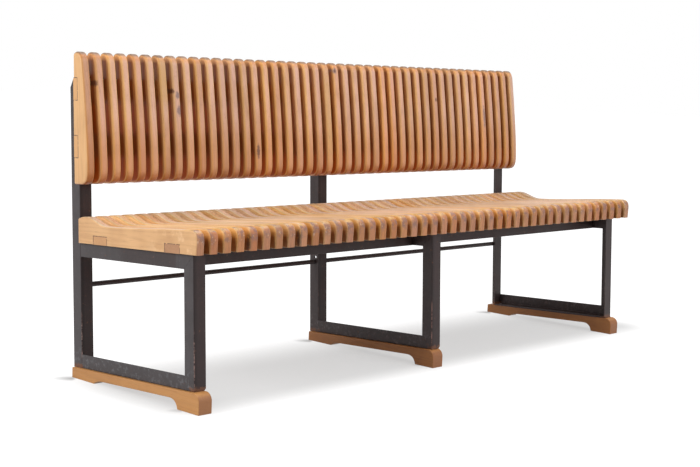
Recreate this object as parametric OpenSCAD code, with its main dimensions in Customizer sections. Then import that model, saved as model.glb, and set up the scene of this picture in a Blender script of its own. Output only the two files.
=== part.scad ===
// Slatted garden bench: profiled wooden slats on three welded frames of steel angle.
// The length runs along X, the sitter faces -Y, and the feet stand on Z = 0.
// The three frames lean back together. Their members, the rails and the slats are drawn
// in leaned coordinates: x along the length from the left frame's web, v back from the
// front legs and w up along them.

/* [Steel frames] */
// Leg of the steel angle
angle_leg = 35; // [30:1:45]
// Thickness of the steel angle
angle_t = 4; // [3:0.5:5]
// Depth of a frame, front leg to rear upright
frame_depth = 477; // [440:1:520]
// Height of a frame's ring, underside of the runner to top of the seat bearer
frame_height = 318; // [280:1:360]
// Length of a rear upright
upright_length = 738; // [728:1:755]
// Web of the middle frame, from the left frame's web
middle_frame_x = 838; // [780:1:900]
// Length over the two end frames
frames_span = 1718; // [1690:1:1740]
// Angle at which the frames lean back
lean = 2.7; // [1:0.1:3.2]
// Small hole drilled through the middle frame's rear web
web_hole_d = 8; // [6:0.5:9]

/* [Steel rails] */
// Front face of the front steel rail, behind the front legs' faces
steel_rail_v = 70; // [60:1:78]
// Length of the short piece of front rail right of the middle frame
short_rail_length = 168; // [60:1:190]
// Diameter of the rear stretcher
stretcher_d = 13; // [8:0.5:16]
// Height of the rear stretcher's axis above the runners' underside
stretcher_w = 209; // [160:1:219]

/* [Feet] */
// Width of a sled foot
foot_width = 40; // [36:1:50]
// How far a foot stands out past its frame's web
foot_out = 8; // [2:1:12]
// Height of a foot under the front leg's face
foot_height = 49; // [44:1:60]
// How far each foot reaches ahead of its front leg, left to right
foot_ahead = [26, 14, 22]; // [5:1:40]
// How far a foot's rear end stops short of the frame's depth
foot_short = 3; // [0:1:10]
// Inner end of the front pad, behind the front leg's face
front_pad_v = 52; // [44:1:80]
// Length of the rear pad
rear_pad = 93; // [70:1:130]
// Thickness of a foot over its arch
arch_thickness = 22; // [20:0.5:25]
// Radius of a foot's front top corner
foot_nose_r = 20; // [6:1:24]

/* [Slats] */
// Number of slats in the seat, and in the back
slat_count = 44; // [40:1:44]
// Thickness of a slat
slat_t = 24; // [16:0.5:28]
// Pitch of the seat slats
seat_pitch = 41; // [40:0.25:43]
// How far the seat passes the left frame
seat_overhang = 8; // [0:1:20]
// Pitch of the back slats
back_pitch = 39.9; // [39:0.1:42]
// How far the back passes the left frame
back_overhang = 16; // [0:1:25]

/* [Seat profile] */
// How far the seat's nose stands ahead of the front legs
nose_ahead = 22; // [15:1:30]
// Height of the seat slats at the front
seat_front_h = 57.5; // [52:0.5:64]
// Height of the seat slats in the hollow
seat_hollow_h = 47; // [40:0.5:50]
// Height of the seat slats at the rear crest
seat_crest_h = 67; // [62:0.5:75]
// Gap between the seat slats' rear ends and the uprights
seat_rear_gap = 1; // [0.5:0.5:4]
// Length of the nose's rounding on top
nose_l = 24; // [18:1:30]
// Drop of the nose's rounding in front
nose_drop = 23.5; // [18:0.5:28]
// Crest of the seat slats, ahead of their rear ends
crest_in = 36; // [30:1:42]
// Lowest point of the hollow, ahead of the slats' rear ends
hollow_in = 119; // [100:1:140]

/* [Back profile] */
// Underside of the back slats above the runners' underside
back_bottom = 465; // [450:1:480]
// Height of the back slats
back_height = 328; // [315:1:340]
// Depth of the back slats near their foot
back_depth = 55.5; // [48:0.5:66]
// Depth of the back slats under their rounded top
back_top_depth = 36; // [30:0.5:42]
// Height of the rounded top, down its front
back_dome_h = 26; // [20:1:32]
// Top of the dome, ahead of the slats' rear edge
back_dome_v = 14; // [10:1:18]
// Height of the deepest point above the back's underside
back_belly_h = 42; // [34:1:50]

/* [Wooden rails] */
// Width of the seat rails
seat_rail_w = 54; // [44:1:56]
// Thickness of the seat rails
seat_rail_t = 21; // [18:0.5:24]
// Middle of the front seat rail, behind the front legs' faces
front_rail_v = 68; // [62:1:74]
// Middle of the rear seat rail
rear_rail_v = 349; // [320:1:360]
// Width of the back rails
back_rail_w = 54; // [44:1:58]
// Thickness of the back rails
back_rail_t = 17; // [15:0.5:20]
// Middle of the lower back rail above the back's underside
lower_rail_up = 94; // [70:1:110]
// Middle of the upper back rail above the back's underside
upper_rail_up = 236; // [200:1:238]
// Gap at each side of a rail in its notches
notch_gap = 0.15; // [0.05:0.05:0.4]

/* [Screws] */
// Shank of the screws
screw_d = 5; // [4:0.5:5]
// Head of the screws
screw_head_d = 10; // [8:0.5:11]
// Height of the screw heads
screw_head_h = 3; // [2:0.5:4]
// Length of the seat screws below their heads
seat_screw_l = 19; // [14:0.5:20]
// Length of the back screws below their heads
back_screw_l = 16; // [12:0.5:17]
// Length of the foot screws below their heads
foot_screw_l = 22; // [16:0.5:24]
// Gap round a screw in steel
steel_clear = 0.3; // [0.1:0.05:0.5]
// Gap round a screw in wood
wood_clear = 0.1; // [0.05:0.05:0.2]

/* [Hidden] */
// Fillet in the root of the angle, and round on its toes
root_r = angle_t;
toe_r = angle_t / 2;
// Corner of the flange clipped off at the front foot of each leg
flange_clip = 5;
// Slanting cut at the rear top corner of each upright
top_cut_v = 19;
top_cut_w = 32;
// Upright's web, and the face that carries the back
upright_v = frame_depth - angle_leg;
// Rear stretcher, clear of the fillet behind the uprights' flanges
stretcher_v = upright_v + angle_t + root_r + stretcher_d / 2;
// Hole in the middle web, above the stretcher's weld and clear of the fillet
web_hole_w = stretcher_w + stretcher_d / 2 + web_hole_d / 2 + 3.5;
web_hole_v = upright_v + angle_t + root_r + web_hole_d / 2 + 0.5;
// Cope that clears the bearers' flange and its fillet
cope = angle_t + root_r;
// Screws go through the middle of the flat inside of every flange
flange_middle = (angle_t + root_r + angle_leg) / 2;
front_screw_v = front_rail_v - 14;
rail_screw_v = steel_rail_v + angle_t + root_r + screw_head_d / 2 + 1;
front_foot_screw_v = angle_leg - flange_clip;
rear_foot_screw_v = upright_v - 17;
back_screw_spread = back_rail_w * 0.26;
// Right ends and the middle of the whole bench
seat_length = (slat_count - 1) * seat_pitch + slat_t;
back_length = (slat_count - 1) * back_pitch + slat_t;
left_end = min(-seat_overhang, -back_overhang, -foot_out);
right_end = max(seat_length - seat_overhang, back_length - back_overhang, frames_span + foot_out);
rear_end = frame_depth * cos(lean) + (upright_length - top_cut_w) * sin(lean);
middle_x = (left_end + right_end) / 2;
middle_y = (rear_end - max(foot_ahead)) / 2;
// Rows of four slats to a node
row = 4;
rows = ceil(slat_count / row);
// Steps along a curve, and sides of a circle
steps = 10;
$fn = 48;

FRAMES = ["left", "middle", "right"];
MEMBERS = ["leg", "runner", "bearer", "upright"];

function frame_x(f) = f == "left" ? 0 : f == "middle" ? middle_frame_x : frames_span;
function inward(f) = f == "right" ? -1 : 1;
function bezier(p, t) = pow(1 - t, 3) * p[0] + 3 * t * pow(1 - t, 2) * p[1]
    + 3 * t * t * (1 - t) * p[2] + pow(t, 3) * p[3];
function curve(p) = [for (i = [0:steps]) bezier(p, i / steps)];
function arc(centre, r, from, to) =
    [for (i = [0:steps]) centre + r * [cos(from + (to - from) * i / steps), sin(from + (to - from) * i / steps)]];

// Places leaned coordinates, or a foot's own, on the floor
module leaned() {
    translate([-middle_x, -middle_y, foot_height]) rotate([-lean, 0, 0]) children();
}

module on_floor() {
    translate([-middle_x, -middle_y, 0]) children();
}

// A frame's members are drawn for the left frame, and mirrored for the right one
module at_frame(f) {
    leaned() translate([frame_x(f), 0, 0]) scale_x(inward(f)) children();
}

module scale_x(side) {
    if (side < 0) mirror([1, 0, 0]) children();
    else children();
}

// Extrudes a side view (v across, w up) along x
module across(from, width) {
    translate([from, 0, 0]) rotate([90, 0, 90]) linear_extrude(width) children();
}

// Rolled angle: the web runs up from the corner, the flange runs to the right
module angle_section() {
    difference() {
        union() {
            square([angle_t, angle_leg]);
            square([angle_leg, angle_t]);
            translate([angle_t, angle_t]) square(root_r);
        }
        translate([angle_t + root_r, angle_t + root_r]) circle(root_r);
        toe_cut(angle_t - toe_r, angle_leg - toe_r);
        toe_cut(angle_leg - toe_r, angle_t - toe_r);
    }
}

module toe_cut(x, y) {
    translate([x, y]) difference() {
        square(toe_r + 1);
        circle(toe_r);
    }
}

module angle_up(length) {
    linear_extrude(length) angle_section();
}

// Angle laid from the front to the back, with its web standing and its flange below
module angle_back(length) {
    mirror([0, 1, 0]) rotate([90, 0, 0]) angle_up(length);
}

module screw_hole(length, clear) {
    cylinder(h = length, d = screw_d + 2 * clear);
}

// Wood screw along +Z with its head below Z = 0
module screw(length) {
    point = screw_d;
    color("dimgray") {
        cylinder(h = length - point, d = screw_d);
        translate([0, 0, length - point]) cylinder(h = point, d1 = screw_d, d2 = 1);
        translate([0, 0, -screw_head_h]) cylinder(h = screw_head_h, d1 = screw_head_d - 2, d2 = screw_head_d);
    }
}

module flange_clips() {
    translate([angle_leg, -1, 0]) rotate([0, 45, 0])
        cube([flange_clip * sqrt(2), 2 * angle_leg, flange_clip * sqrt(2)], center = true);
}

module leg(f) {
    color("dimgray") at_frame(f) difference() {
        intersection() {
            angle_up(frame_height);
            across(-1, angle_leg + 2) polygon([
                [-1, -1], [angle_leg + 1, angle_leg + 1],
                [angle_leg + 1, frame_height - angle_leg - 1], [-1, frame_height + 1]
            ]);
        }
        flange_clips();
    }
}

module runner(f) {
    color("dimgray") at_frame(f) difference() {
        intersection() {
            angle_back(upright_v);
            across(-1, angle_leg + 2) polygon([
                [-1, -1], [upright_v + 1, -1], [upright_v + 1, angle_leg + 1], [angle_leg + 1, angle_leg + 1]
            ]);
        }
        flange_clips();
        for (v = [front_foot_screw_v, rear_foot_screw_v])
            translate([flange_middle, v, -1]) screw_hole(angle_t + 2, steel_clear);
    }
}

module bearer(f) {
    color("dimgray") at_frame(f) difference() {
        intersection() {
            translate([0, 0, frame_height]) mirror([0, 0, 1]) angle_back(upright_v);
            across(-1, angle_leg + 2) polygon([
                [-1, frame_height + 1], [upright_v + 1, frame_height + 1],
                [upright_v + 1, frame_height - angle_leg - 1], [angle_leg + 1, frame_height - angle_leg - 1]
            ]);
        }
        for (v = [front_screw_v, rear_rail_v])
            translate([flange_middle, v, frame_height - angle_t - 1]) screw_hole(angle_t + 2, steel_clear);
    }
}

// The upright's flange is on its front edge, where the back is screwed to it
module upright(f) {
    color("dimgray") at_frame(f) difference() {
        translate([0, upright_v, 0]) angle_up(upright_length);
        across(-1, angle_leg + 2) polygon([
            [frame_depth + 1, upright_length - top_cut_w - top_cut_w / top_cut_v],
            [frame_depth + 1, upright_length + 1],
            [frame_depth - top_cut_v - top_cut_v / top_cut_w, upright_length + 1]
        ]);
        if (f == "middle") translate([-1, web_hole_v, web_hole_w]) rotate([0, 90, 0])
            cylinder(h = angle_t + 2, d = web_hole_d);
        for (up = [lower_rail_up, upper_rail_up], side = [-1, 1])
            translate([flange_middle, upright_v - 1, back_bottom + up + side * back_screw_spread])
                rotate([-90, 0, 0]) screw_hole(angle_t + 2, steel_clear);
    }
}

// Front rail: an angle with its face down at the front and its flat on top, pointing back.
// Its ends are coped where they pass under a bearer's flange.
module front_rail(from, to, coped_left, coped_right) {
    flat_from = coped_left ? angle_leg - angle_t : 0;
    flat_to = coped_right ? angle_leg - angle_t : 0;
    color("dimgray") leaned() difference() {
        translate([from, steel_rail_v, frame_height]) rotate([0, 90, 0]) angle_up(to - from);
        for (end = [[from, flat_from], [to - flat_to, flat_to]]) if (end[1] > 0)
            translate([end[0], steel_rail_v - 1, frame_height - cope])
                cube([end[1], angle_leg + 2, cope + 1]);
        for (x = rail_screws()) translate([x, rail_screw_v, frame_height - angle_t - 1])
            screw_hole(angle_t + 2, steel_clear);
    }
}

// Screws at the quarter points of both bays
function left_bay() = [angle_t, middle_frame_x];
function right_bay() = [middle_frame_x + angle_t, frames_span - angle_t];
function rail_screws() = [for (bay = [left_bay(), right_bay()], q = [0.25, 0.75]) bay[0] + q * (bay[1] - bay[0])];

module stretcher(bay) {
    color("black") leaned() translate([bay[0], stretcher_v, stretcher_w]) rotate([0, 90, 0])
        cylinder(h = bay[1] - bay[0], d = stretcher_d);
}

// Side view of a foot, in its own upright coordinates: its top follows the leaning frame
function foot_top(y) = foot_height - y * tan(lean);

module foot_profile(ahead) {
    rear = frame_depth - foot_short;
    nose = [foot_nose_r - ahead, foot_top(foot_nose_r - ahead) - foot_nose_r / cos(lean)];
    polygon(concat(
        [[-ahead, 0]],
        arc(nose, foot_nose_r, 180, 90 - lean),
        [[rear, foot_top(rear)], [rear, 0]],
        arch()
    ));
}

// The arch springs from the rear pad in a shallow curve and drops to the front pad in a round cove
function arch() =
    let (start = frame_depth - foot_short - rear_pad,
         end = front_pad_v,
         low = foot_top(start) - arch_thickness,
         run = 3.2 * low,
         cove = foot_top(end) - arch_thickness,
         tilt = tan(lean))
    concat(
        curve([[start, 0], [start - run / 3, low * 0.75], [start - run * 2 / 3, low + run * tilt * 2 / 3],
            [start - run, low + run * tilt]]),
        curve([[end + cove * 1.3, foot_top(end + cove * 1.3) - arch_thickness],
            [end + cove * 0.6, foot_top(end + cove * 0.6) - arch_thickness],
            [end + cove * 0.15, cove * 0.7], [end, 0]])
    );

module foot(f) {
    color("peru") difference() {
        on_floor() translate([frame_x(f), 0, 0]) scale_x(inward(f))
            across(-foot_out, foot_width) foot_profile(foot_ahead[search([f], FRAMES)[0]]);
        at_frame(f) for (v = [front_foot_screw_v, rear_foot_screw_v])
            translate([flange_middle, v, angle_t - foot_screw_l])
                screw_hole(foot_screw_l - angle_t + 1, wood_clear);
    }
}

// Wooden rails
module seat_rail(v, screws) {
    color("saddlebrown") leaned() difference() {
        translate([-seat_overhang, v - seat_rail_w / 2, frame_height])
            cube([seat_length, seat_rail_w, seat_rail_t]);
        for (place = screws)
            translate([place[0], place[1], frame_height - 1]) screw_hole(seat_screw_l - angle_t + 1, wood_clear);
    }
}

function bearer_screws(v) = [for (f = FRAMES) [frame_x(f) + inward(f) * flange_middle, v]];

module seat_rail_front() {
    seat_rail(front_rail_v, concat(bearer_screws(front_screw_v), [for (x = rail_screws()) [x, rail_screw_v]]));
}

module seat_rail_rear() {
    seat_rail(rear_rail_v, bearer_screws(rear_rail_v));
}

module back_rail(up) {
    middle = back_bottom + up;
    color("saddlebrown") leaned() difference() {
        translate([-back_overhang, upright_v - back_rail_t, middle - back_rail_w / 2])
            cube([back_length, back_rail_t, back_rail_w]);
        for (f = FRAMES, side = [-1, 1])
            translate([frame_x(f) + inward(f) * flange_middle, upright_v + 1, middle + side * back_screw_spread])
                rotate([90, 0, 0]) screw_hole(back_screw_l - angle_t + 1, wood_clear);
    }
}

// Side view of a seat slat: a round nose, a long shallow hollow and a crest before the back
module seat_profile() {
    rear = upright_v - seat_rear_gap;
    crest = rear - crest_in;
    hollow = rear - hollow_in;
    nose_h = seat_front_h - nose_drop;
    nose_v = nose_l - nose_ahead;
    polygon(concat(
        [[rear, 0]],
        curve([[rear, seat_crest_h - crest_in * 0.25], [rear, seat_crest_h - crest_in * 0.08],
            [rear - crest_in * 0.45, seat_crest_h], [crest, seat_crest_h]]),
        curve([[crest, seat_crest_h], [crest - (hollow_in - crest_in) * 0.32, seat_crest_h],
            [hollow + (hollow_in - crest_in) * 0.43, seat_hollow_h], [hollow, seat_hollow_h]]),
        curve([[hollow, seat_hollow_h], [hollow * 0.7, seat_hollow_h], [hollow * 0.3, seat_front_h],
            [nose_v, seat_front_h]]),
        curve([[nose_v, seat_front_h], [nose_v - nose_l * 0.67, seat_front_h],
            [-nose_ahead, nose_h + nose_drop * 0.68], [-nose_ahead, nose_h]]),
        [[nose_l * 0.125 - nose_ahead, 0]]
    ));
}

module seat_slat(i) {
    translate([0, 0, frame_height]) across(i * seat_pitch - seat_overhang, slat_t) difference() {
        seat_profile();
        for (v = [front_rail_v, rear_rail_v])
            translate([v - seat_rail_w / 2 - notch_gap, -1]) square([seat_rail_w + 2 * notch_gap, seat_rail_t + 1]);
    }
}

// Side view of a back slat: straight behind, domed at the top, deepest near its foot
module back_profile() {
    top_v = upright_v - back_top_depth;
    deep_v = upright_v - back_depth;
    polygon(concat(
        [[upright_v, 0]],
        curve([[upright_v, back_height - back_dome_v * 0.8], [upright_v, back_height - back_dome_v * 0.3],
            [upright_v - back_dome_v * 0.45, back_height], [upright_v - back_dome_v, back_height]]),
        curve([[upright_v - back_dome_v, back_height], [top_v + back_dome_h * 0.38, back_height],
            [top_v + back_dome_h * 0.12, back_height - back_dome_h * 0.38], [top_v, back_height - back_dome_h]]),
        curve([[top_v, back_height - back_dome_h], [top_v - back_dome_h * 0.3, back_height * 0.7],
            [deep_v, back_height * 0.35], [deep_v, back_belly_h]]),
        curve([[deep_v, back_belly_h], [deep_v, back_belly_h / 3], [deep_v + back_belly_h * 0.19, 0],
            [deep_v + back_belly_h * 0.67, 0]])
    ));
}

module back_slat(i) {
    translate([0, 0, back_bottom]) across(i * back_pitch - back_overhang, slat_t) difference() {
        back_profile();
        for (up = [lower_rail_up, upper_rail_up])
            translate([upright_v - back_rail_t, up - back_rail_w / 2 - notch_gap])
                square([back_rail_t + 1, back_rail_w + 2 * notch_gap]);
    }
}

function row_slats(r) = [for (i = [(r - 1) * row:min(r * row, slat_count) - 1]) i];

module seat_slats(r) {
    color("burlywood") leaned() for (i = row_slats(r)) seat_slat(i);
}

module back_slats(r) {
    color("burlywood") leaned() for (i = row_slats(r)) back_slat(i);
}

module seat_rail_screws() {
    leaned() for (v = [front_screw_v, rear_rail_v], place = bearer_screws(v))
        translate([place[0], place[1], frame_height - angle_t]) screw(seat_screw_l);
}

module front_rail_screws() {
    leaned() for (x = rail_screws()) translate([x, rail_screw_v, frame_height - angle_t]) screw(seat_screw_l);
}

module back_rail_screws() {
    leaned() for (f = FRAMES, up = [lower_rail_up, upper_rail_up], side = [-1, 1])
        translate([frame_x(f) + inward(f) * flange_middle, upright_v + angle_t,
            back_bottom + up + side * back_screw_spread]) rotate([90, 0, 0]) screw(back_screw_l);
}

module foot_screws() {
    for (f = FRAMES) at_frame(f) for (v = [front_foot_screw_v, rear_foot_screw_v])
        translate([flange_middle, v, angle_t]) rotate([180, 0, 0]) screw(foot_screw_l);
}

for (f = FRAMES) {
    leg(f);
    runner(f);
    bearer(f);
    upright(f);
    foot(f);
}
front_rail(angle_t, middle_frame_x, true, false);  // front_rail_left
front_rail(middle_frame_x + angle_t, middle_frame_x + angle_t + short_rail_length, true, false);  // front_rail_short
front_rail(middle_frame_x + angle_t + short_rail_length, frames_span - angle_t, false, true);  // front_rail_right
stretcher(left_bay());  // rear_stretcher_left
stretcher(right_bay());  // rear_stretcher_right
seat_rail_front();
seat_rail_rear();
back_rail(lower_rail_up);  // back_rail_lower
back_rail(upper_rail_up);  // back_rail_upper
for (r = [1:rows]) {
    seat_slats(r);
    back_slats(r);
}
seat_rail_screws();
front_rail_screws();
back_rail_screws();
foot_screws();
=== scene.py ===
import math

import bpy
from mathutils import Matrix, Vector


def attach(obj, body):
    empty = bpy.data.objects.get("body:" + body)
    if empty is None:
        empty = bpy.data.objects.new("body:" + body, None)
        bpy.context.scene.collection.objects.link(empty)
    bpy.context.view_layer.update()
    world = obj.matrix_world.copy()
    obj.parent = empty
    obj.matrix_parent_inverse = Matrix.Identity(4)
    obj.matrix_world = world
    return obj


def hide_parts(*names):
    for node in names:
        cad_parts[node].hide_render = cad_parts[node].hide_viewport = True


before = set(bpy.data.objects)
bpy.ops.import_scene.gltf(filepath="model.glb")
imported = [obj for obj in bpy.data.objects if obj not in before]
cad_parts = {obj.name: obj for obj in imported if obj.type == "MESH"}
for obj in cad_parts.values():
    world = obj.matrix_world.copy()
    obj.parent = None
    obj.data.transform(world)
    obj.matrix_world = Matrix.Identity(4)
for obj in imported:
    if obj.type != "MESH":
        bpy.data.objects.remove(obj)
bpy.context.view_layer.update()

# ---- Steel frames ----
# Three open frames of 35 x 35 x 4 mm rolled steel angle: front leg, runner, seat bearer and
# rear upright. The corners at the front are mitred, and every joint is welded and dressed.
# The steel is blackened and waxed, and rusts a little at its heels and along its edges.

# The frames lean back together. A place in them is x along the bench from the left frame's web,
# v back from the front legs and w up along them: in mm for the meshes, in metres for the
# materials.
X, V, W = range(3)
LEAN = math.radians(2.7)
FRAME_START = (-0.8815, -0.241864, 0.049)
WEBS = {"left": 0, "middle": 838, "right": 1718}
BEARER_TOP, UPRIGHT_FACE = 318, 442
# Where the outer corner of each member's angle runs, beside the x of its frame's web
CORNERS = {"leg": {V: 0}, "runner": {W: 0}, "bearer": {W: BEARER_TOP}, "upright": {V: UPRIGHT_FACE}}
# Rounding of those corners and of the other edges, and how near a line counts as on it
CORNER_ROUND, BROKEN_EDGE, CORNER_STEPS = 3.0, 0.5, 4
ON_LINE = 0.1
# Points this near are one point (in metres), and faces this flat are one face. Edges sharper
# than CRISP are rounded, and those duller than SMOOTH are shaded smooth.
ONE_POINT, ONE_FACE = 1e-5, math.radians(0.1)
CRISP, SMOOTH = math.radians(40), math.radians(35)

WAXED, CLOUDED = (0.044, 0.037, 0.038), (0.064, 0.056, 0.058)
MILL_SCALE, DARK_RUN = (0.10, 0.093, 0.097), (0.030, 0.023, 0.022)
WAX_BLOOM, BARE_EDGE, RUST = (0.155, 0.155, 0.165), (0.26, 0.165, 0.145), (0.145, 0.060, 0.030)
# Painted shade on faces to the front and in the corners beside the webs
FRONT_FACE_SHADE, WEB_CORNER_SHADE = (0.56, 0.36, 0.34), (0.55, 0.50, 0.50)
# Painted shade towards the right end, low inside the right frame and under the seat
RIGHT_END_SHADE, RIGHT_LEG_SHADE = (0.93, 0.82, 0.80), (0.75, 0.68, 0.66)
UNDER_SEAT_SHADE = (0.74, 0.64, 0.62)
SCALE_RELIEF = 0.0004


def leaning(co):
    """x, v and w of a point of the bench, in mm."""
    x, y, z = ((place - start) * 1000 for place, start in zip(co, FRAME_START))
    return x, y * math.cos(LEAN) - z * math.sin(LEAN), y * math.sin(LEAN) + z * math.cos(LEAN)


def only(piece):
    """Leaves just this piece selected and active, in object mode."""
    if bpy.context.object and bpy.context.object.mode != "OBJECT":
        bpy.ops.object.mode_set(mode="OBJECT")
    bpy.ops.object.select_all(action="DESELECT")
    piece.select_set(True)
    bpy.context.view_layer.objects.active = piece


def blank(node, name):
    """A new piece cut to a CAD node's shape, its triangles merged into whole faces."""
    piece = bpy.data.objects.new(name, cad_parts[node].data.copy())
    piece.data.name = name
    piece.data.materials.clear()
    bpy.context.scene.collection.objects.link(piece)
    only(piece)
    bpy.ops.mesh.customdata_custom_splitnormals_clear()
    bpy.ops.object.mode_set(mode="EDIT")
    bpy.ops.mesh.select_all(action="SELECT")
    bpy.ops.mesh.remove_doubles(threshold=ONE_POINT)
    bpy.ops.mesh.dissolve_limited(angle_limit=ONE_FACE)
    bpy.ops.mesh.select_all(action="DESELECT")
    bpy.ops.object.mode_set(mode="OBJECT")
    return piece


def ease(piece, width, segments, share):
    """Rounds crisp edges, width in mm. share takes the x, v and w of an edge's middle and the
    normals of its two faces, and gives the part of the width that the edge is rounded by."""
    mesh = piece.data
    beside = {}
    for polygon in mesh.polygons:
        for key in polygon.edge_keys:
            beside.setdefault(key, []).append(polygon.normal.copy())
    shares = mesh.attributes.new("bevel_weight_edge", "FLOAT", "EDGE")
    for edge in mesh.edges:
        sides = beside.get(edge.key, [])
        if len(sides) == 2 and sides[0].angle(sides[1], 0) > CRISP:
            first, second = (mesh.vertices[i].co for i in edge.vertices)
            shares.data[edge.index].value = share(leaning((first + second) / 2), sides)
    only(piece)
    eased = piece.modifiers.new("eased", "BEVEL")
    eased.width, eased.segments, eased.limit_method = width / 1000, segments, "WEIGHT"
    eased.use_clamp_overlap = False
    bpy.ops.object.modifier_apply(modifier=eased.name)
    piece.data.attributes.remove(piece.data.attributes["bevel_weight_edge"])


def finish_off(piece, material, node):
    """Smooth shading with crisp flats, the material, and the piece's place in the frame."""
    only(piece)
    bpy.ops.object.shade_smooth_by_angle(angle=SMOOTH)
    flats = piece.modifiers.new("flats", "WEIGHTED_NORMAL")
    flats.keep_sharp = True
    bpy.ops.object.modifier_apply(modifier=flats.name)
    piece.data.materials.clear()
    piece.data.materials.append(material)
    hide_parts(node)
    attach(piece, "root")


def corner(line):
    """Rounds an angle's outer corner and only breaks its other edges. line says which two of x,
    v and w stay the same along the corner, and where."""
    def share(middle, sides):
        """1 on the outer corner, and far less on any other edge."""
        on_corner = all(abs(middle[axis] - place) < ON_LINE for axis, place in line.items())
        return 1 if on_corner else BROKEN_EDGE / CORNER_ROUND

    return share


def new_material(name):
    """A material with its node tree and its shader."""
    material = bpy.data.materials.new(name)
    material.use_nodes = True
    tree = material.node_tree
    return material, tree, tree.nodes["Principled BSDF"]


def put(tree, kind, settings=None, **wires):
    """A shader node with its settings, and values or other nodes' outputs on its sockets, which
    go by their names, or by _ and their numbers."""
    made = tree.nodes.new("ShaderNode" + kind)
    for key, value in (settings or {}).items():
        setattr(made, key, value)
    for key, value in wires.items():
        socket = made.inputs[int(key[1:]) if key[0] == "_" else key.replace("_", " ")]
        if isinstance(value, bpy.types.NodeSocket):
            tree.links.new(value, socket)
        else:
            socket.default_value = value
    return made


def sums(tree, how, a, b=0.0, c=0.0):
    """One step of arithmetic."""
    return put(tree, "Math", {"operation": how}, _0=a, _1=b, _2=c).outputs[0]


def times(tree, *factors):
    """The product of masks and numbers: where all of them hold."""
    total = factors[0]
    for factor in factors[1:]:
        total = sums(tree, "MULTIPLY", total, factor)
    return total


def size(tree, value):
    """A value without its sign."""
    return sums(tree, "ABSOLUTE", value)


def apart(tree, value, centre):
    """How far a value lies from a centre, on either side."""
    return size(tree, sums(tree, "SUBTRACT", value, centre))


def ramp(tree, value, start, end, at_start=0.0, at_end=1.0):
    """A soft step from one level at start to another at end, which may lie below start."""
    made = put(tree, "MapRange", {"interpolation_type": "SMOOTHSTEP"}, Value=value,
               From_Min=start, From_Max=end, To_Min=at_start, To_Max=at_end)
    return made.outputs[0]


def noise(tree, where, per_metre, detail=2.0, rough=0.5):
    """Cloudy noise, by its patches to the metre."""
    return put(tree, "TexNoise", Vector=where, Scale=per_metre, Detail=detail,
               Roughness=rough).outputs[0]


def stretched(tree, where, scale):
    """A place whose axes are scaled, so that a pattern is drawn out where the scale is small."""
    return put(tree, "Mapping", Vector=where, Scale=scale).outputs[0]


def xyz(tree, vector):
    """The three parts of a place or a normal."""
    return put(tree, "SeparateXYZ", Vector=vector).outputs


def in_frame(tree, place):
    """Object coordinates turned into the leaning frame: x, v and w, in metres."""
    home = Matrix.Rotation(LEAN, 3, "X") @ -Vector(FRAME_START)
    return put(tree, "Mapping", Vector=place, Rotation=(LEAN, 0, 0), Location=home).outputs[0]


def blend(tree, how, where, under, over):
    """Two colours, each another node's output or red, green and blue, joined by a mask."""
    under, over = (c if isinstance(c, bpy.types.NodeSocket) else (*c, 1) for c in (under, over))
    made = put(tree, "Mix", {"data_type": "RGBA", "blend_type": how}, _0=where, _6=under, _7=over)
    return made.outputs[2]


def cover(tree, where, colour, paint):
    """The colour with a paint over it where the mask holds."""
    return blend(tree, "MIX", where, colour, paint)


def tint(tree, where, colour, cast):
    """The colour times a cast where the mask holds."""
    return blend(tree, "MULTIPLY", where, colour, cast)


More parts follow.
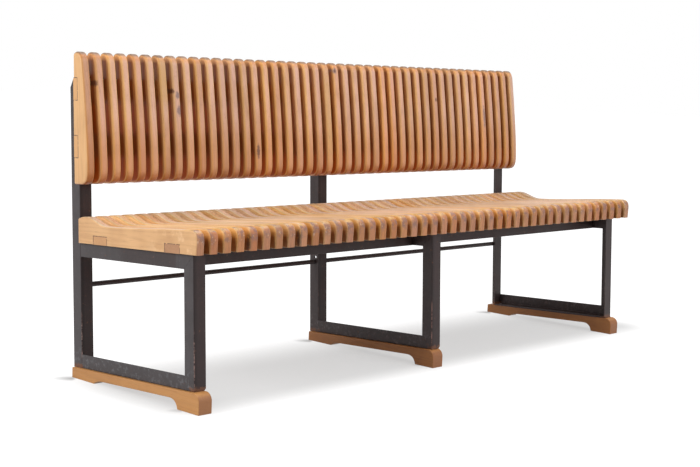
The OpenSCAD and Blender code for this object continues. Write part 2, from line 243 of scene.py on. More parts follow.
def black_steel(name, rust):
    """Blackened and waxed steel: cloudy patina, specks of scale, and rust where it is handled
    or stands in the wet. rust is its strength."""
    material, tree, skin = new_material(name)
    coords = put(tree, "TexCoord")
    place = coords.outputs["Object"]
    home = in_frame(tree, place)
    x, v, w = xyz(tree, home)
    nx, ny, _ = xyz(tree, coords.outputs["Normal"])

    # Clouds in the blacking, pale specks of scale, and thin dark runs down the uprights
    clouds = noise(tree, place, 22, 4, 0.6)
    scale_marks = noise(tree, place, 140, 3, 0.65)
    runs = noise(tree, stretched(tree, home, (1, 1, 0.08)), 260, 2)
    colour = cover(tree, ramp(tree, clouds, 0.35, 0.7), WAXED, CLOUDED)
    colour = cover(tree, ramp(tree, scale_marks, 0.58, 0.75, 0, 0.4), colour, MILL_SCALE)
    colour = cover(tree, ramp(tree, runs, 0.5, 0.8, 0, 0.3), colour, DARK_RUN)

    # Painted shade: faces to the front are darker and browner, most at the left end, and darkest
    # close to a frame's web, where the corner is in shade
    front = times(tree, ramp(tree, ny, -0.3, -0.9), ramp(tree, x, 0.2, 1.7, 1.0, 0.35))
    colour = tint(tree, front, colour, FRONT_FACE_SHADE)
    middle_web, right_web = WEBS["middle"] / 1000, WEBS["right"] / 1000
    to_web = sums(tree, "MINIMUM", size(tree, x), sums(
        tree, "MINIMUM", apart(tree, x, middle_web), apart(tree, x, right_web)))
    corner_shade = times(tree, ramp(tree, ny, -0.25, -0.6), ramp(tree, to_web, 0.012, 0.004))
    colour = tint(tree, corner_shade, colour, WEB_CORNER_SHADE)

    # Grey bloom in the wax on the runners' webs, and low corners rubbed bare
    low_web = times(tree, ramp(tree, nx, -0.8, -0.95), ramp(tree, w, 0.07, 0.03))
    bloom = times(tree, low_web, ramp(tree, noise(tree, home, 75, 4, 0.7), 0.5, 0.68))
    colour = cover(tree, times(tree, bloom, 0.5), colour, WAX_BLOOM)
    edge = ramp(tree, times(tree, nx, ny), 0.2, 0.45)
    rubbed = times(tree, edge, ramp(tree, w, 0.15, 0.11),
                   ramp(tree, noise(tree, home, 60, 3, 0.7), 0.42, 0.56))
    colour = cover(tree, times(tree, rubbed, rust), colour, BARE_EDGE)

    # Painted shade with a brown cast towards the right end, and deeper painted shade low inside the
    # right frame and under the seat
    colour = tint(tree, ramp(tree, x, 0.2, 0.8), colour, RIGHT_END_SHADE)
    inside_right_shade = times(tree, ramp(tree, x, 1.70, 1.708), ramp(tree, ny, -0.5, -0.2),
                         ramp(tree, w, 0.05, 0.035))
    colour = tint(tree, inside_right_shade, colour, RIGHT_LEG_SHADE)
    under_seat_shade = times(tree, ramp(tree, w, 0.27, 0.285), ramp(tree, v, 0.060, 0.068),
                       ramp(tree, v, 0.30, 0.25))
    colour = tint(tree, under_seat_shade, colour, UNDER_SEAT_SHADE)

    # Rust low on the legs and uprights, where the wet stands
    standing = ramp(tree, w, 0.020, 0.002)
    heels = sums(tree, "MAXIMUM", ramp(tree, v, 0.035, 0.0), ramp(tree, v, 0.425, 0.445))
    damp = sums(tree, "MULTIPLY_ADD", times(tree, standing, heels), 0.30,
                noise(tree, home, 90, 4, 0.7))
    colour = cover(tree, times(tree, ramp(tree, damp, 0.60, 0.80), rust), colour, RUST)

    tree.links.new(colour, skin.inputs["Base Color"])
    tree.links.new(ramp(tree, clouds, 0.3, 0.75, 0.42, 0.60), skin.inputs["Roughness"])
    skin.inputs["Metallic"].default_value = 0.1
    skin.inputs["Specular IOR Level"].default_value = 0.25
    relief = sums(tree, "MULTIPLY_ADD", scale_marks, 0.6, sums(tree, "MULTIPLY", runs, 0.4))
    bump = put(tree, "Bump", Strength=0.35, Distance=SCALE_RELIEF, Height=relief)
    tree.links.new(bump.outputs[0], skin.inputs["Normal"])
    return material


frame_steel = black_steel("blackened_steel", rust=0.85)
for place, web in WEBS.items():
    for member, line in CORNERS.items():
        node = f"frame_{place}_{member}"
        angle = blank(node, f"{place}_{member}_angle")
        ease(angle, CORNER_ROUND, CORNER_STEPS, corner({X: web, **line}))
        finish_off(angle, frame_steel, node)

# ---- Front seat rail ----
# The same angle along the front, under the seat: one length in the left bay, and a short and a
# long one butt-welded in the right bay. Its flat is screwed up into the wooden seat rail.

RAIL_FACE = 70

for part in ("left", "short", "right"):
    node = f"front_rail_{part}"
    rail = blank(node, f"front_steel_rail_{part}")
    ease(rail, CORNER_ROUND, CORNER_STEPS, corner({V: RAIL_FACE, W: BEARER_TOP}))
    finish_off(rail, frame_steel, node)

# ---- Rear stretcher ----
# A 13 mm round bar low at the back, in one length for each bay, welded to the uprights' webs.
# It is blackened as the frames are, with less rust.

bar_steel = black_steel("black_bar", rust=0.35)
for bay in ("left", "right"):
    node = f"rear_stretcher_{bay}"
    bar = blank(node, f"stretcher_bar_{bay}")
    finish_off(bar, bar_steel, node)

# ---- Sled feet ----
# One hardwood runner under each frame, bandsawn with an arch between a front and a rear pad,
# its arrises taken off with a plane and its face oiled. It is screwed on through the steel.

FOOT_ARRIS, FOOT_STEPS = 1.5, 3
FOOT_LIGHT, FOOT_DARK, FOOT_ENDS = (0.51, 0.240, 0.074), (0.41, 0.180, 0.050), (0.28, 0.105, 0.038)
# Painted shade for the middle and right feet, which stand under the seat
FOOT_SEAT_SHADE, FOOT_SIDE_SHADE = (0.84, 0.76, 0.68), (0.84, 0.78, 0.74)
PORES = (0.45, 0.32, 0.22)
GRAIN_RELIEF = 0.0004
# How far off in the wood a slat's pattern may start, in metres, and the slats' hue, saturation
# and value from the least to the most
OTHER_WOOD = (3.1, 2.3, 2.7)
PLANK_HUE, PLANK_SATURATION, PLANK_VALUE = (0.496, 0.503), (0.93, 1.07), (0.90, 1.08)


def timber(name, along, light, dark, ends, boards=None, face=(1, 1, 1), gloss=(0.46, 0.62),
           marks=None, leaning_grain=True):
    """Oiled hardwood. along is the grain's axis, boards the first edge and pitch of slats that
    each come from another plank, ends the end grain, face the cast of the narrow worn faces,
    which on the back slats is also a painted sheen, and marks a function that adds what only this
    wood has."""
    material, tree, skin = new_material(name)
    coords = put(tree, "TexCoord")
    place = coords.outputs["Object"]
    home = in_frame(tree, place) if leaning_grain else place
    turn = (LEAN, 0, 0) if leaning_grain else (0, 0, 0)
    facing = put(tree, "Mapping", {"vector_type": "VECTOR"}, Vector=coords.outputs["Normal"],
                 Rotation=turn).outputs[0]
    side = "XYZ".index(along)

    # Each slat takes its pattern from another place in the wood. The count changes in the gaps,
    # a fifth of the pitch ahead of a slat
    board = home
    if boards:
        first, pitch = boards
        ahead = 0.2
        along_row = sums(tree, "MULTIPLY_ADD", xyz(tree, place)[X], 1 / pitch,
                         ahead - first / pitch)
        count = sums(tree, "FLOOR", along_row)
        over_board = sums(tree, "MULTIPLY_ADD", sums(tree, "FRACT", along_row), pitch,
                          -ahead * pitch)
        plank = put(tree, "TexWhiteNoise", {"noise_dimensions": "1D"}, W=count).outputs["Color"]
        board = put(tree, "VectorMath", {"operation": "MULTIPLY_ADD"}, _0=plank,
                    _1=OTHER_WOOD, _2=home).outputs[0]

    # Year rings, fibres and pores are drawn out along the grain
    long_way, fine_way = [1.0, 1.0, 1.0], [1.0, 1.0, 1.0]
    long_way[side], fine_way[side] = 0.04, 0.025
    grain, fine = stretched(tree, board, long_way), stretched(tree, board, fine_way)
    rings = sums(tree, "PINGPONG", times(tree, noise(tree, grain, 30, 1.5, 0.45), 9.0), 0.5)
    rings = ramp(tree, rings, 0.02, 0.45)
    fibres = noise(tree, fine, 420, 3, 0.6)
    pores = ramp(tree, noise(tree, fine, 1100, 1, 0.5), 0.62, 0.72)
    clouds = noise(tree, board, 11, 2, 0.5)
    tone = sums(tree, "MULTIPLY_ADD", rings, 0.16, times(tree, fibres, 0.3))
    tone = sums(tree, "MULTIPLY_ADD", clouds, 0.74, tone)
    colour = cover(tree, ramp(tree, tone, 0.3, 0.85), dark, light)

    # Every face but the broad flanks is worn, on the back slats with a painted sheen too, and the
    # ends show their end grain
    across = size(tree, xyz(tree, facing)[X])
    worn = times(tree, ramp(tree, across, 0.45, 0.12), ramp(tree, clouds, 0.25, 0.6, 0.75, 1.0))
    if boards:
        worn = times(tree, worn, ramp(tree, over_board, 0.004, 0.011, 0.25, 1.0))
    colour = tint(tree, worn, colour, face)
    end = ramp(tree, size(tree, xyz(tree, facing)[side]), 0.45, 0.95, 0, 0.75)
    colour = cover(tree, end, colour, ends)
    if boards:
        hue, saturation, value = xyz(tree, plank)
        colour = put(tree, "HueSaturation", Color=colour,
                     Hue=ramp(tree, hue, 0, 1, *PLANK_HUE),
                     Saturation=ramp(tree, saturation, 0, 1, *PLANK_SATURATION),
                     Value=ramp(tree, value, 0, 1, *PLANK_VALUE)).outputs[0]
    if marks:
        colour = marks(tree, home, facing, colour)
    colour = tint(tree, times(tree, pores, 0.35), colour, PORES)

    tree.links.new(colour, skin.inputs["Base Color"])
    tree.links.new(ramp(tree, fibres, 0.3, 0.7, *gloss), skin.inputs["Roughness"])
    relief = sums(tree, "MULTIPLY_ADD", rings, 0.25, times(tree, fibres, 0.5))
    relief = sums(tree, "MULTIPLY_ADD", pores, -0.5, relief)
    bump = put(tree, "Bump", Strength=0.3, Distance=GRAIN_RELIEF, Height=relief)
    tree.links.new(bump.outputs[0], skin.inputs["Normal"])
    return material


def foot_shade_marks(tree, home, facing, colour):
    """The middle and right feet stand in the seat's shade: painted darker and browner than the left
    one, most of all on their sides.
    """
    seat_shaded = ramp(tree, xyz(tree, home)[X], -0.7, -0.2)
    colour = tint(tree, seat_shaded, colour, FOOT_SEAT_SHADE)
    side = times(tree, seat_shaded, ramp(tree, size(tree, xyz(tree, facing)[X]), 0.8, 0.95))
    return tint(tree, side, colour, FOOT_SIDE_SHADE)


def every_edge(middle, sides):
    """All crisp edges are rounded alike."""
    return 1


foot_wood = timber("foot_hardwood", "Y", FOOT_LIGHT, FOOT_DARK, FOOT_ENDS, marks=foot_shade_marks,
                   leaning_grain=False)
for place in WEBS:
    foot = blank(f"foot_{place}", f"{place}_sled_foot")
    ease(foot, FOOT_ARRIS, FOOT_STEPS, every_edge)
    finish_off(foot, foot_wood, f"foot_{place}")

# ---- Wooden rails ----
# Two flat boards under the seat and two behind the back, from end to end. They are glued into
# the notches of the slats, and their sawn end grain shows flush in the end slats.

RAIL_ARRIS = 0.6
RAIL_LIGHT, RAIL_DARK = (0.60, 0.33, 0.15), (0.42, 0.20, 0.08)
RAIL_ENDS = {
    "seat_rail_front": (0.35, 0.170, 0.086), "seat_rail_rear": (0.53, 0.28, 0.125),
    "back_rail_lower": (0.66, 0.36, 0.15), "back_rail_upper": (0.66, 0.36, 0.15),
}

for name, ends in RAIL_ENDS.items():
    wood = timber(name + "_wood", "X", RAIL_LIGHT, RAIL_DARK, ends)
    board = blank(name, name + "_board")
    ease(board, RAIL_ARRIS, 1, every_edge)
    finish_off(board, wood, name)

# ---- Seat slats ----
# 44 boards on edge, sawn to one profile with a round nose, a long hollow and a crest at the
# back. They are notched over the two seat rails and glued, and their arrises are sanded round.

# The first slat's edge on the bench's length, and the pitch of the slats, in metres
SEAT_FIRST, SEAT_PITCH = -0.8895, 0.041
# Middles of the rails along a slat, the inner side of the notches, and half a notch's width
SEAT_RAILS, SEAT_NOTCH, HALF_NOTCH = (68, 349), 339, 27.15
SLAT_ROWS = range(1, 12)
SLAT_STEPS = 4
SEAT_ARRIS, HIDDEN_SHARE = 4.2, 0.3
SLAT_GLOSS = (0.36, 0.52)
SEAT_LIGHT, SEAT_DARK, SEAT_ENDS = (0.68, 0.375, 0.15), (0.55, 0.28, 0.10), (0.42, 0.160, 0.064)
SEAT_FACE_CAST = (1.0, 0.75, 0.70)
# Painted light at the top of the seat's gaps and on the crest's flanks, painted shade deep in the
# gaps
LIT_CAST, SEAT_GAP_SHADE, CREST_FLANK_LIGHT = (1.16, 1.12, 0.98), (0.44, 0.29, 0.19), (1.40, 1.68, 2.2)
# Worn tops with a painted sheen, weaker on the crest and towards the right end
WORN_TOP_AND_SHEEN, CREST_LESS_SHEEN = (0.98, 1.27, 1.80), (0.90, 0.90, 0.85)
FAR_SEAT_LESS_SHEEN, LONG_GRAIN_CAST, NOSE_GRAIN_CAST = (
    (0.91, 0.90, 0.97), (0.70, 0.60, 0.52), (0.66, 0.58, 0.56))
GRIME, RUBBED_OCHRE, SOOT = (0.22, 0.115, 0.095), (0.60, 0.345, 0.075), (0.055, 0.035, 0.032)
PALE_FLECKS, PALE_WOOD, GLUE_LINE = (0.74, 0.52, 0.36), (0.90, 0.62, 0.36), (0.06, 0.026, 0.014)
# Places of the sooty noses along the bench, with half their widths, in metres
SOOTY = ((0.150, 0.012), (0.312, 0.016))


def flank_edge(sides):
    """Whether an edge borders one flank of a slat, and so runs round its outline."""
    return (abs(sides[0].x) > 0.99) != (abs(sides[1].x) > 0.99)


def over_rail(along, rails):
    """Whether a place along a slat is in one of the notches for its rails."""
    return min(abs(along - rail) for rail in rails) < HALF_NOTCH + 0.5


def seat_share(middle, sides):
    """Full rounding on top and over the nose, a little underneath, none in the notches."""
    x, v, w = middle
    notched = BEARER_TOP + ON_LINE < w < SEAT_NOTCH + 0.5 and over_rail(v, SEAT_RAILS)
    if notched or not flank_edge(sides):
        return 0
    return HIDDEN_SHARE if w < BEARER_TOP + 1 else 1


def glue_lines(tree, along, depth, rails, facing, colour):
    """Thin dark lines round the rails' ends in the outer slats. along runs across the rails'
    width, and depth is how far a place lies past the notch's inner side, both in metres."""
    off = None
    for rail in rails:
        reach = sums(tree, "SUBTRACT", apart(tree, along, rail / 1000), HALF_NOTCH / 1000)
        reach = size(tree, sums(tree, "MAXIMUM", reach, depth))
        off = reach if off is None else sums(tree, "MINIMUM", off, reach)
    outside = ramp(tree, size(tree, xyz(tree, facing)[X]), 0.85, 0.95)
    flat = put(tree, "CombineXYZ", X=along, Y=depth).outputs[0]
    broken = ramp(tree, noise(tree, flat, 120, 2, 0.6), 0.36, 0.48)
    line = times(tree, outside, ramp(tree, off, 0.0022, 0.0009), broken)
    return cover(tree, times(tree, line, 0.95), colour, GLUE_LINE)


def seat_marks(tree, home, facing, colour):
    """Painted light at the top of the gaps and painted shade inside them, tops worn pale where one
    sits with a painted sheen, and handling has darkened the noses and worn them back to pale or
    ochre wood in patches."""
    x, v, w = xyz(tree, home)
    nx, _, nw = xyz(tree, facing)

    # The flanks in the gaps, not the ends of the bench: painted light near the top by the nose and
    # on the crest, painted shade deeper in
    flank = ramp(tree, size(tree, nx), 0.9, 1.0)
    between = times(tree, flank, ramp(tree, x, 0.0, 0.002), ramp(tree, x, 1.775, 1.773))
    inwards = sums(tree, "MULTIPLY_ADD", w, -14, sums(tree, "MULTIPLY_ADD", v, 90, 6.90))
    along_row = put(tree, "CombineXYZ", X=x, Y=0.3, Z=0.7).outputs[0]
    uneven_w = sums(tree, "MULTIPLY_ADD", noise(tree, along_row, 23, 1), 0.030,
                    sums(tree, "SUBTRACT", w, 0.015))
    lit = times(tree, between, ramp(tree, v, 0.03, 0.01), ramp(tree, uneven_w, 0.340, 0.356))
    colour = tint(tree, lit, colour, LIT_CAST)
    gap_shade = times(tree, between, ramp(tree, inwards, 0.5, 1.1),
                 ramp(tree, uneven_w, 0.359, 0.345))
    colour = tint(tree, gap_shade, colour, SEAT_GAP_SHADE)
    crest = times(tree, between, ramp(tree, w, 0.352, 0.370), ramp(tree, v, 0.2, 0.3))
    colour = tint(tree, crest, colour, CREST_FLANK_LIGHT)

    # The tops, worn paler where one sits and painted paler still with a sheen, less on the crest
    # and towards the right end, with long streaks of grain
    narrow = ramp(tree, size(tree, nx), 0.9, 0.5)
    sat_on_and_sheen = times(tree, narrow, ramp(tree, nw, 0.55, 0.9))
    colour = tint(tree, sat_on_and_sheen, colour, WORN_TOP_AND_SHEEN)
    colour = tint(tree, times(tree, sat_on_and_sheen, ramp(tree, v, 0.26, 0.32)), colour, CREST_LESS_SHEEN)
    colour = tint(tree, times(tree, sat_on_and_sheen, ramp(tree, x, 0.2, 0.7)), colour, FAR_SEAT_LESS_SHEEN)
    lengthways = stretched(tree, home, (1, 0.035, 1))
    grain = times(tree, sat_on_and_sheen, ramp(tree, noise(tree, lengthways, 240, 4, 0.65), 0.48, 0.64))
    colour = tint(tree, times(tree, grain, 0.65), colour, LONG_GRAIN_CAST)

    # The noses: upright streaks, grime on their brows and ochre wood rubbed bare on their crowns
    upright = noise(tree, stretched(tree, home, (1, 1, 0.12)), 170, 3, 0.65)
    streaks = times(tree, narrow, ramp(tree, v, 0.020, 0.008), ramp(tree, upright, 0.44, 0.62))
    colour = tint(tree, times(tree, streaks, 0.5), colour, NOSE_GRAIN_CAST)
    brow = times(tree, narrow, ramp(tree, v, 0.022, 0.004), ramp(tree, w, 0.335, 0.352))
    grime = ramp(tree, noise(tree, home, 48, 4, 0.65), 0.44, 0.60)
    colour = cover(tree, times(tree, brow, grime, 0.78), colour, GRIME)
    crown = times(tree, narrow, ramp(tree, v, 0.055, 0.02), ramp(tree, w, 0.366, 0.373))
    elsewhere = put(tree, "Mapping", Vector=home, Location=(3, 1, 0)).outputs[0]
    rubbed = ramp(tree, noise(tree, elsewhere, 34, 4, 0.7), 0.47, 0.58)
    colour = cover(tree, times(tree, crown, rubbed, 0.75), colour, RUBBED_OCHRE)
    for spot_x, wide in SOOTY:
        soot = times(tree, ramp(tree, apart(tree, x, spot_x), wide, wide / 3),
                     ramp(tree, w, 0.368, 0.350), ramp(tree, v, 0.0, -0.012),
                     ramp(tree, noise(tree, home, 90, 3, 0.7), 0.36, 0.52))
        colour = cover(tree, times(tree, soot, 0.8), colour, SOOT)
    flecks = ramp(tree, noise(tree, home, 130, 3, 0.6), 0.60, 0.70)
    flecks = times(tree, sums(tree, "MAXIMUM", brow, crown), flecks, 0.55)
    colour = cover(tree, flecks, colour, PALE_FLECKS)

    # The left end, worn pale near the front, with the glue lines of the rails
    outer = times(tree, ramp(tree, nx, -0.9, -0.98), ramp(tree, x, 0.0, -0.006))
    pale = ramp(tree, noise(tree, home, 26, 4, 0.65), 0.52, 0.66)
    pale = times(tree, outer, pale, ramp(tree, v, 0.18, 0.10), 0.35)
    colour = cover(tree, pale, colour, PALE_WOOD)
    depth = sums(tree, "SUBTRACT", w, SEAT_NOTCH / 1000)
    return glue_lines(tree, v, depth, SEAT_RAILS, facing, colour)


seat_wood = timber("seat_slat_wood", "Y", SEAT_LIGHT, SEAT_DARK, SEAT_ENDS,
                   boards=(SEAT_FIRST, SEAT_PITCH), face=SEAT_FACE_CAST, gloss=SLAT_GLOSS,
                   marks=seat_marks)
for row in SLAT_ROWS:
    slats = blank(f"seat_slats_{row}", f"seat_slat_row_{row}")
    ease(slats, SEAT_ARRIS, SLAT_STEPS, seat_share)
    finish_off(slats, seat_wood, f"seat_slats_{row}")

# ---- Back slats ----
# 44 upright boards with a domed top and a belly low down, straight behind, notched over the two
# back rails and glued. Their tops are rounded like fingers, and their fronts have worn paler and
# carry a painted sheen.

BACK_FIRST, BACK_PITCH = -0.8975, 0.0399
BACK_RAILS, BACK_NOTCH = (559, 701), 425
BACK_ARRIS = 6.0
# Height up to which the rear edges are barely rounded, on the flat that the uprights carry
REAR_FLAT_TOP = 725
BACK_LIGHT, BACK_DARK, BACK_ENDS = (0.69, 0.375, 0.14), (0.56, 0.285, 0.10), (0.45, 0.22, 0.10)
# The back slats' fronts, worn paler and with a painted sheen
BACK_FRONT_WEAR_AND_SHEEN = (1.04, 1.09, 2.05)
# Painted shade in the back's gaps, painted light below and between the rails, deeper painted shade
# high towards the right
BACK_GAP_SHADE, LOW_GAP_LIGHT = (0.53, 0.35, 0.21), (1.55, 1.25, 0.72)
MIDDLE_GAP_LIGHT, FAR_GAP_SHADE = (1.42, 1.20, 0.88), (0.80, 0.66, 0.56)
# Painted shade on the flanks and low on the fronts; the first slat is browner
FLANK_SHADE, LOW_FRONT_SHADE, FIRST_CAST = (0.98, 0.87, 0.84), (0.94, 0.80, 0.60), (0.80, 0.66, 0.50)
FOOT_GRIME_CAST, DOME_CAST = (0.80, 0.64, 0.52), (0.95, 0.80, 0.56)
CROWN_GREY = (0.15, 0.095, 0.06)
# Colours of the marks, and how strongly each one covers the wood
KNOT, BRUISE = ((0.13, 0.045, 0.022), 0.9), ((0.24, 0.15, 0.14), 0.9)
SAP = ((0.60, 0.34, 0.10), 0.55)
# x and w of each mark and half its width and height, in mm
MARKS = (
    (834, 640, 16, 170, SAP), (236, 725, 16, 75, SAP), (869, 770, 9, 10, BRUISE),
    (869, 770, 5, 6, KNOT), (552, 540, 7, 24, KNOT), (264, 700, 6, 8, KNOT),
    (280, 649, 9, 16, BRUISE), (278, 690, 8, 12, BRUISE), (1555, 640, 6, 45, BRUISE),
    (1316, 692, 5, 9, KNOT), (22, 716, 9, 9, KNOT), (233, 788, 10, 4, KNOT),
    (198, 792, 5, 5, KNOT),
)


def back_share(middle, sides):
    """Full rounding in front, over the top and underneath, a little behind, none in the
    notches."""
    x, v, w = middle
    notched = BACK_NOTCH - 0.5 < v < UPRIGHT_FACE - ON_LINE and over_rail(w, BACK_RAILS)
    if notched or not flank_edge(sides):
        return 0
    return HIDDEN_SHARE if v > UPRIGHT_FACE - 0.5 and w < REAR_FLAT_TOP else 1


def back_marks(tree, home, facing, colour):
    """Painted shade and light in the gaps, painted shade low on the fronts, grimy feet, grey
    crowns, knots, bruises and two sappy boards."""
    x, v, w = xyz(tree, home)
    across = size(tree, xyz(tree, facing)[X])

    # Painted shade on the flanks in the gaps behind the slats' fronts, painted lighter below the
    # rails and between them, most at the left, where light comes through from behind, and darker
    # high towards the right end; all flanks get some painted shade
    behind_front = sums(tree, "SUBTRACT", v, ramp(tree, w, 0.50, 0.77, 0.387, 0.407))
    after_first, before_last = ramp(tree, x, -0.0055, -0.0045), ramp(tree, x, 1.753, 1.751)
    gap_shade = times(tree, ramp(tree, across, 0.9, 1.0), ramp(tree, w, 0.7775, 0.770),
                 ramp(tree, behind_front, 0.0045, 0.0095), after_first, before_last)
    colour = tint(tree, gap_shade, colour, BACK_GAP_SHADE)
    low_gap_light = times(tree, gap_shade, ramp(tree, w, 0.545, 0.515))
    colour = tint(tree, low_gap_light, colour, LOW_GAP_LIGHT)
    middle_gap_light = times(tree, gap_shade, ramp(tree, apart(tree, w, 0.628), 0.045, 0.028))
    colour = tint(tree, times(tree, middle_gap_light, ramp(tree, x, 1.0, 0.3)), colour, MIDDLE_GAP_LIGHT)
    far_gap_shade = times(tree, gap_shade, ramp(tree, w, 0.61, 0.66), ramp(tree, x, 0.9, 1.4))
    colour = tint(tree, far_gap_shade, colour, FAR_GAP_SHADE)
    shaded = times(tree, ramp(tree, across, 0.8, 1.0), after_first, before_last)
    colour = tint(tree, shaded, colour, FLANK_SHADE)

    # The fronts, with painted shade low down, browner on the first slat, and with grime at their
    # feet
    narrow = ramp(tree, across, 0.9, 0.5)
    colour = tint(tree, times(tree, narrow, ramp(tree, w, 0.66, 0.53)), colour, LOW_FRONT_SHADE)
    colour = tint(tree, times(tree, narrow, ramp(tree, x, 0.012, 0.002)), colour, FIRST_CAST)
    foot_grime = times(tree, narrow, ramp(tree, w, 0.500, 0.472),
                       ramp(tree, noise(tree, home, 40, 3, 0.6), 0.3, 0.5))
    colour = tint(tree, foot_grime, colour, FOOT_GRIME_CAST)

    # Knots, bruises and sap, with ragged edges
    ragged = noise(tree, home, 160, 3, 0.6)
    for spot_x, spot_w, wide, high, (paint, strength) in MARKS:
        off = put(tree, "VectorMath", {"operation": "MULTIPLY_ADD"}, _0=home,
                  _1=(1000 / wide, 0, 1000 / high), _2=(-spot_x / wide, 0, -spot_w / high))
        away = put(tree, "VectorMath", {"operation": "LENGTH"}, _0=off.outputs[0]).outputs[1]
        near = ramp(tree, sums(tree, "ADD", away, ragged), 1.6, 0.9)
        colour = cover(tree, times(tree, near, strength), colour, paint)

    # The domes, browner in front and nearly grey on top
    dome = times(tree, ramp(tree, across, 0.98, 0.9), ramp(tree, w, 0.770, 0.782))
    colour = tint(tree, dome, colour, DOME_CAST)
    crown = times(tree, ramp(tree, xyz(tree, facing)[W], 0.15, 0.6), ramp(tree, w, 0.782, 0.791))
    colour = cover(tree, times(tree, crown, 0.85), colour, CROWN_GREY)
    depth = sums(tree, "SUBTRACT", BACK_NOTCH / 1000, v)
    return glue_lines(tree, w, depth, BACK_RAILS, facing, colour)


back_wood = timber("back_slat_wood", "Z", BACK_LIGHT, BACK_DARK, BACK_ENDS,
                   boards=(BACK_FIRST, BACK_PITCH), face=BACK_FRONT_WEAR_AND_SHEEN, gloss=SLAT_GLOSS,
                   marks=back_marks)
for row in SLAT_ROWS:
    slats = blank(f"back_slats_{row}", f"back_slat_row_{row}")
    ease(slats, BACK_ARRIS, SLAT_STEPS, back_share)
    finish_off(slats, back_wood, f"back_slats_{row}")

# ---- Screws ----
# Plain dark countersunk wood screws through the flanges: up into the seat rails, forward into
# the back rails and down into the feet. Each head has a round driver socket.

# In metres and square metres. The heads' flat discs are the only many-sided faces of this area
HEAD_AREA, AREA_SLACK, MANY_SIDES = 50e-6, 0.5e-6, 8
SOCKET_RIM, SOCKET_DEEP, SOCKET_WALL = 0.0021, 0.0012, 0.0001

screw_steel = black_steel("screw_steel", rust=0.2)
for name in ("seat_rail_screws", "front_rail_screws", "back_rail_screws", "foot_screws"):
    screws = blank(name, name[:-1] + "_set")
    heads = [face.index for face in screws.data.polygons
             if len(face.vertices) > MANY_SIDES and abs(face.area - HEAD_AREA) < AREA_SLACK]
    bpy.ops.object.mode_set(mode="EDIT")
    bpy.ops.mesh.select_mode(type="FACE")
    bpy.ops.mesh.select_all(action="DESELECT")
    bpy.ops.object.mode_set(mode="OBJECT")
    for index in heads:
        screws.data.polygons[index].select = True
    bpy.ops.object.mode_set(mode="EDIT")
    bpy.ops.mesh.inset(thickness=SOCKET_RIM, use_individual=True)
    bpy.ops.mesh.inset(thickness=SOCKET_WALL, depth=-SOCKET_DEEP, use_individual=True)
    bpy.ops.mesh.select_all(action="DESELECT")
    bpy.ops.object.mode_set(mode="OBJECT")
    finish_off(screws, screw_steel, name)

# ---- Floor ----
# A plain white studio floor with a painted soft grey shadow under the bench and a short dark
# painted shadow behind each pad of the feet. It glows white to the camera around them, and lights
# the bench as grey.

FLOOR_WIDTH = 60
FLOOR_TO_CAMERA, FLOOR_TO_BENCH = (0.22, 0.22, 0.22), (0.5, 0.5, 0.5)
WHITE, SHADE_DEPTH, SKIRT_DEPTH = (1, 1, 1, 1), 0.46, 0.30
# Each pad's middle in metres and the depth of its painted shadow, then the way that the shadows
# fall
PAD_SHADES = (
    (-0.898, 0.221, 1.5), (-0.889, -0.200, 1.3), (-0.060, 0.221, 1.5), (-0.051, -0.200, 1.3),
    (0.796, 0.221, 1.5), (0.805, -0.200, 1.3),
)
FALL_X, FALL_Y = -0.764, 0.645


def seen_rays(tree, ray):
    """Rays from the camera, straight or by a mirror or glass."""
    return sums(tree, "MAXIMUM", ray.outputs["Is Camera Ray"],
                sums(tree, "MAXIMUM", ray.outputs["Is Glossy Ray"],
                     ray.outputs["Is Transmission Ray"]))


def patch(tree, x, y, left, right, front, rear):
    """A soft rectangle on the floor. Each side gives where it starts and where it is full."""
    return times(tree, ramp(tree, x, *left), ramp(tree, x, *right),
                 ramp(tree, y, *front), ramp(tree, y, *rear))


bpy.ops.object.select_all(action="DESELECT")
bpy.ops.mesh.primitive_plane_add(size=FLOOR_WIDTH, location=(0, 0, 0))
floor = bpy.context.object
floor.name = "studio_floor"
floor_paint, tree, skin = new_material("white_floor")
skin.inputs["Roughness"].default_value = 0.9
skin.inputs["Specular IOR Level"].default_value = 0.0
skin.inputs["Emission Color"].default_value = WHITE
ray = put(tree, "LightPath")
x, y, _ = xyz(tree, put(tree, "TexCoord").outputs["Object"])
# Painted shadow: the floor's glow to the camera is lowered under and around the bench and behind
# each pad
shade = patch(tree, x, y, left=(-1.04, -0.84), right=(1.12, 0.94), front=(-0.37, -0.17),
              rear=(0.42, 0.02))
skirt = patch(tree, x, y, left=(-1.35, -0.70), right=(1.12, 0.80), front=(-0.75, -0.25),
              rear=(0.42, 0.02))
shade = sums(tree, "MAXIMUM", shade, times(tree, skirt, SKIRT_DEPTH))
for pad_x, pad_y, depth in PAD_SHADES:
    from_x, from_y = sums(tree, "SUBTRACT", x, pad_x), sums(tree, "SUBTRACT", y, pad_y)
    away = sums(tree, "MULTIPLY_ADD", from_x, FALL_X, times(tree, from_y, FALL_Y))
    aside = sums(tree, "MULTIPLY_ADD", from_x, FALL_Y, times(tree, from_y, -FALL_X))
    behind = times(tree, ramp(tree, away, -0.02, 0.0), ramp(tree, away, 0.08, -0.01),
                   ramp(tree, size(tree, aside), 0.045, 0.0), depth)
    shade = sums(tree, "MAXIMUM", shade, behind)
tree.links.new(cover(tree, ray.outputs["Is Camera Ray"], FLOOR_TO_BENCH, FLOOR_TO_CAMERA),
               skin.inputs["Base Color"])
glow = sums(tree, "MULTIPLY_ADD", shade, -SHADE_DEPTH, 1.0)
tree.links.new(times(tree, seen_rays(tree, ray), glow), skin.inputs["Emission Strength"])
floor.data.materials.append(floor_paint)

# ---- Room and lamps ----
# A white room that is brighter above and behind, with a plain white backdrop to the camera. A
# soft lamp stands high on the left, one in front and one overhead.

LAMP_TARGET = (0, 0, 0.4)


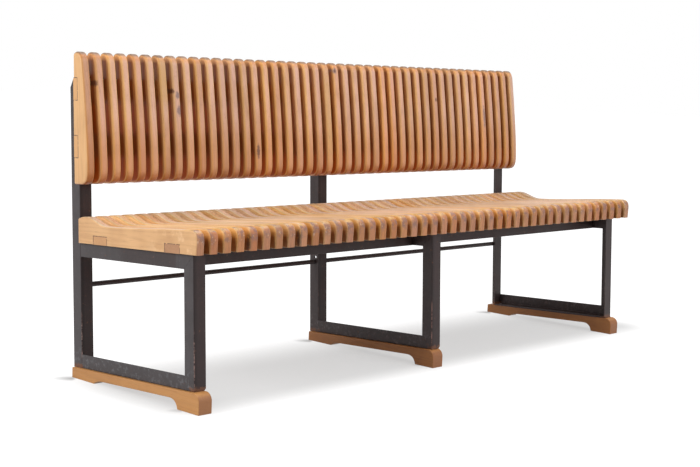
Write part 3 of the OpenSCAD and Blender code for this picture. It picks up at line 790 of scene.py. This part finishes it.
def soft_lamp(name, place, width, watts):
    """A square area lamp that looks at the bench."""
    bpy.ops.object.light_add(type="AREA", location=place)
    lamp = bpy.context.object
    lamp.name = name
    lamp.data.size, lamp.data.energy = width, watts
    lamp.rotation_mode = "QUATERNION"
    lamp.rotation_quaternion = (Vector(LAMP_TARGET) - Vector(place)).to_track_quat("-Z", "Y")


room = bpy.data.worlds.new("white_room")
bpy.context.scene.world = room
room.use_nodes = True
tree = room.node_tree
tree.nodes.clear()
_, y, z = xyz(tree, put(tree, "TexCoord").outputs["Generated"])
brightness = sums(tree, "ADD", ramp(tree, z, 0, 1, 0.14, 0.6), ramp(tree, y, 0.1, 0.9, 0, 0.05))
walls = put(tree, "Background", Color=WHITE, Strength=brightness)
backdrop = put(tree, "Background", Color=WHITE, Strength=1.0)
either = put(tree, "MixShader", _0=seen_rays(tree, put(tree, "LightPath")),
             _1=walls.outputs[0], _2=backdrop.outputs[0])
put(tree, "OutputWorld", Surface=either.outputs[0])

soft_lamp("key", (-4.2, 0.5, 2.5), 2.0, 122)
soft_lamp("front", (1.4, -4.8, 2.7), 2.8, 100)
soft_lamp("overhead", (0.2, -0.3, 3.2), 2.6, 62)

# ---- Camera ----
# The photograph's viewpoint, from the left and in front, a little below the top of the back.
# Its angles, place and focal length were solved from the bench's own edges.

CAMERA_PLACE = (-2.8676, -2.621564, 0.7873)
AZIMUTH, ELEVATION, ROLL = math.radians(46.226), math.radians(6.599), math.radians(2.127)
FOCAL_PIXELS, PHOTO_PIXELS, SENSOR = 1366.3, 700, 36

aim = Vector((math.sin(AZIMUTH) * math.cos(ELEVATION), math.cos(AZIMUTH) * math.cos(ELEVATION),
              -math.sin(ELEVATION)))
level = aim.cross(Vector((0, 0, 1))).normalized()
plumb = level.cross(aim)
right = math.cos(ROLL) * level + math.sin(ROLL) * plumb
up = -math.sin(ROLL) * level + math.cos(ROLL) * plumb
bpy.ops.object.camera_add()
camera = bpy.context.object
camera.name = "photograph_view"
camera.data.sensor_width = SENSOR
camera.data.lens = SENSOR * FOCAL_PIXELS / PHOTO_PIXELS
camera.matrix_world = Matrix((
    *((right[i], up[i], -aim[i], CAMERA_PLACE[i]) for i in range(3)), (0, 0, 0, 1)))
bpy.context.scene.camera = camera
bpy.context.scene.view_settings.view_transform = "Standard"
